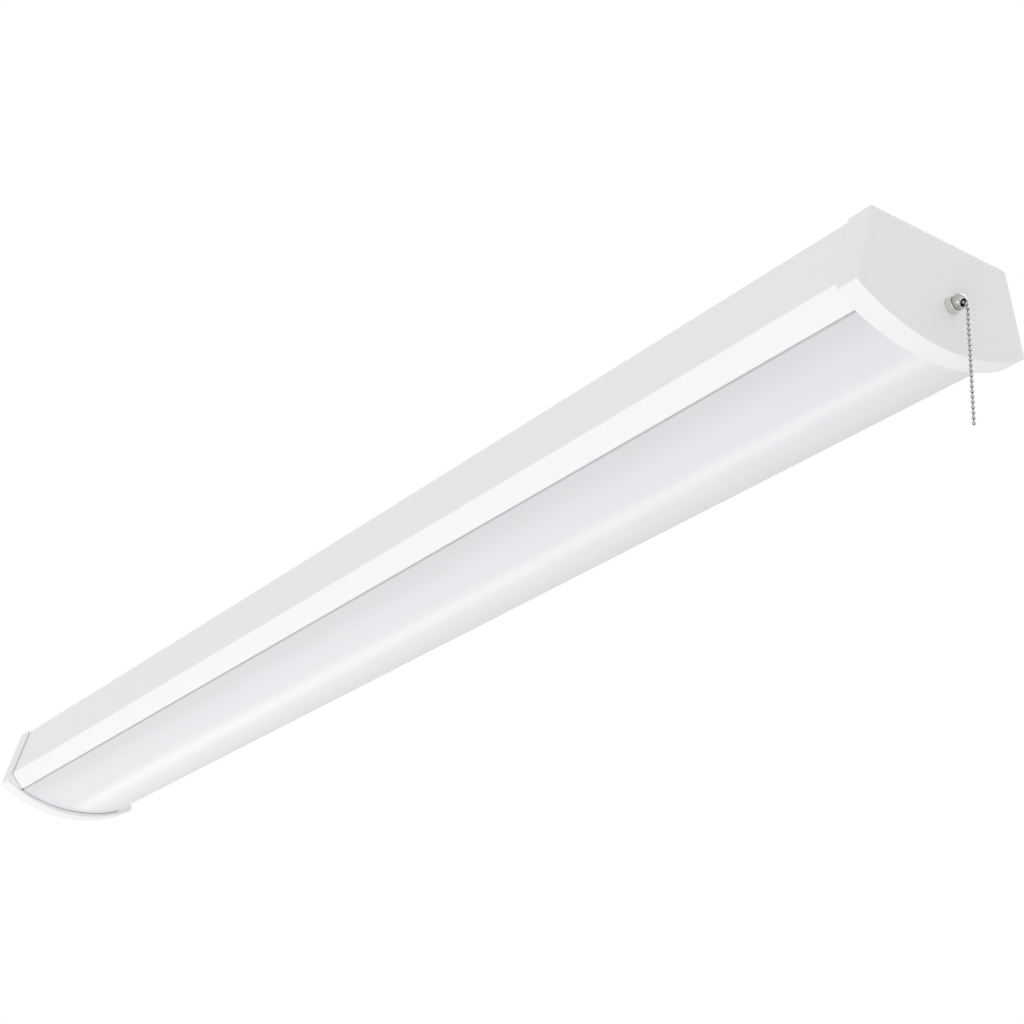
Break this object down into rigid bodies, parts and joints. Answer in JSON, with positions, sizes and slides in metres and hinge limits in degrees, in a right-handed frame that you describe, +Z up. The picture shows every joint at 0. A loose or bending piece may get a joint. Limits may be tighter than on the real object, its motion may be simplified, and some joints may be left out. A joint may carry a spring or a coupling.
{
  "type": "led wraparound ceiling light",
  "caption": "Linear surface-mounted ceiling light: white steel channel, milky curved lens, moulded end caps and a pull-chain switch on one end.",
  "frame": {"origin": "middle of the channel's back, on the ceiling plane", "axes": "+Z up into the ceiling; +X along the light, towards the end with the pull-chain switch"},
  "size_m": [1.2328, 0.1352, 0.1268],
  "materials": {
    "white_steel": "smooth satin white enamel",
    "white_plastic": "fine satin moulded white",
    "milky_acrylic": "milky, softly glossy",
    "board_white": "satin white mask",
    "led_phosphor": "yellow resin",
    "zinc_steel": "bright zinc",
    "ground_green": "green plated",
    "circuit_green": "satin mask",
    "ferrite": "matt dark grey",
    "black_sleeve": "gloss",
    "copper_winding": "enamelled copper",
    "terminal_plastic": "satin",
    "black_plastic": "satin",
    "black_rubber": "matt",
    "lead_black": "satin insulation",
    "lead_white": "satin insulation",
    "lead_red": "satin insulation",
    "lead_green": "satin insulation",
    "contact_brass": "bright",
    "nickel": "bright nickel plate"
  },
  "bodies": {
    "fixture": {"housing_channel": "white_steel", "led_tray": "white_steel", "end_cap_switch": "white_plastic", "end_cap_plain": "white_plastic", "lens": "milky_acrylic", "led_board_1": "board_white", "led_board_2": "board_white", "led_board_3": "board_white", "led_board_4": "board_white", "led_chips_1": "led_phosphor", "led_chips_2": "led_phosphor", "led_chips_3": "led_phosphor", "led_chips_4": "led_phosphor", "tray_screws": "zinc_steel", "board_screws": "zinc_steel", "driver_screws": "zinc_steel", "driver_case": "zinc_steel", "driver_lid": "zinc_steel", "ground_ring": "zinc_steel", "return_spring": "zinc_steel", "ground_screw": "ground_green", "driver_board": "circuit_green", "driver_transformer": "ferrite", "driver_capacitors": "black_sleeve", "driver_choke": "copper_winding", "driver_terminals": "terminal_plastic", "supply_terminal": "terminal_plastic", "board_connectors": "terminal_plastic", "switch_body": "black_plastic", "switch_cover": "black_plastic", "entry_bushing": "black_plastic", "tray_grommet": "black_rubber", "line_lead": "lead_black", "output_lead_rear": "lead_black", "neutral_lead": "lead_white", "board_jumpers": "lead_white", "switched_lead": "lead_red", "output_lead_front": "lead_red", "ground_lead": "lead_green", "switch_contacts": "contact_brass", "switch_bushing": "nickel", "collar_nut": "nickel", "chain_mouth": "nickel"},
    "pull_train": {"pull_slide": "terminal_plastic", "chain_inside": "nickel"},
    "bend_bead_1": {"chain_bend_1": "nickel"},
    "bend_bead_2": {"chain_bend_2": "nickel"},
    "bend_bead_3": {"chain_bend_3": "nickel"},
    "bend_bead_4": {"chain_bend_4": "nickel"},
    "chain_top": {"chain_top_bead": "nickel"},
    "upper_run": {"chain_upper": "nickel"},
    "lower_run": {"chain_lower": "nickel"},
    "rotor": {"switch_rotor": "black_plastic", "contact_bridge": "contact_brass"}
  },
  "joints": [
    {"name": "chain_pull", "type": "slide", "parent": "fixture", "child": "pull_train", "axis": [1, 0, 0], "range_m": [0, 0.007], "stiffness_N_per_m": 400, "springref_m": -0.012, "deforming": ["return_spring"]},
    {"name": "chain_drop", "type": "slide", "parent": "fixture", "child": "chain_top", "axis": [0, 0, -1], "range_m": [0, 0.007]},
    {"name": "chain_swing", "type": "hinge", "parent": "chain_top", "child": "upper_run", "pos_m": [0.6221, 0.0068, -0.05105], "axis": [0, 1, 0], "range_deg": [-70, 20]},
    {"name": "chain_fold", "type": "hinge", "parent": "upper_run", "child": "lower_run", "pos_m": [0.6221, 0.0068, -0.08834], "axis": [1, 0, 0], "range_deg": [-70, 70]},
    {"name": "rotor_turn", "type": "hinge", "parent": "fixture", "child": "rotor", "pos_m": [0.59541, 0.0068, -0.0357], "axis": [0, 1, 0], "range_deg": [-91, 0]},
    {"name": "bend_roll_1", "type": "hinge", "parent": "fixture", "child": "bend_bead_1", "pos_m": [0.61407, 0.0068, -0.05494], "axis": [0, 1, 0], "range_deg": [0, 37.45]},
    {"name": "bend_roll_2", "type": "hinge", "parent": "fixture", "child": "bend_bead_2", "pos_m": [0.6154, 0.0068, -0.05105], "axis": [0, 1, 0], "range_deg": [0, 59.96]},
    {"name": "bend_roll_3", "type": "hinge", "parent": "fixture", "child": "bend_bead_3", "pos_m": [0.61539, 0.0068, -0.05106], "axis": [0, 1, 0], "range_deg": [0, 59.84]},
    {"name": "bend_roll_4", "type": "hinge", "parent": "fixture", "child": "bend_bead_4", "pos_m": [0.60797, 0.0068, -0.05291], "axis": [0, 1, 0], "range_deg": [0, 28.18]}
  ],
  "couplings": [
    {"joint": "chain_drop", "follows": "chain_pull", "ratio": 1},
    {"joint": "rotor_turn", "follows": "chain_pull", "rad_per_m": -224.4},
    {"joint": "bend_roll_1", "follows": "chain_pull", "rad_per_m": 93.115},
    {"joint": "bend_roll_2", "follows": "chain_pull", "rad_per_m": 149.25},
    {"joint": "bend_roll_3", "follows": "chain_pull", "rad_per_m": 148.96},
    {"joint": "bend_roll_4", "follows": "chain_pull", "rad_per_m": 70.008}
  ]
}
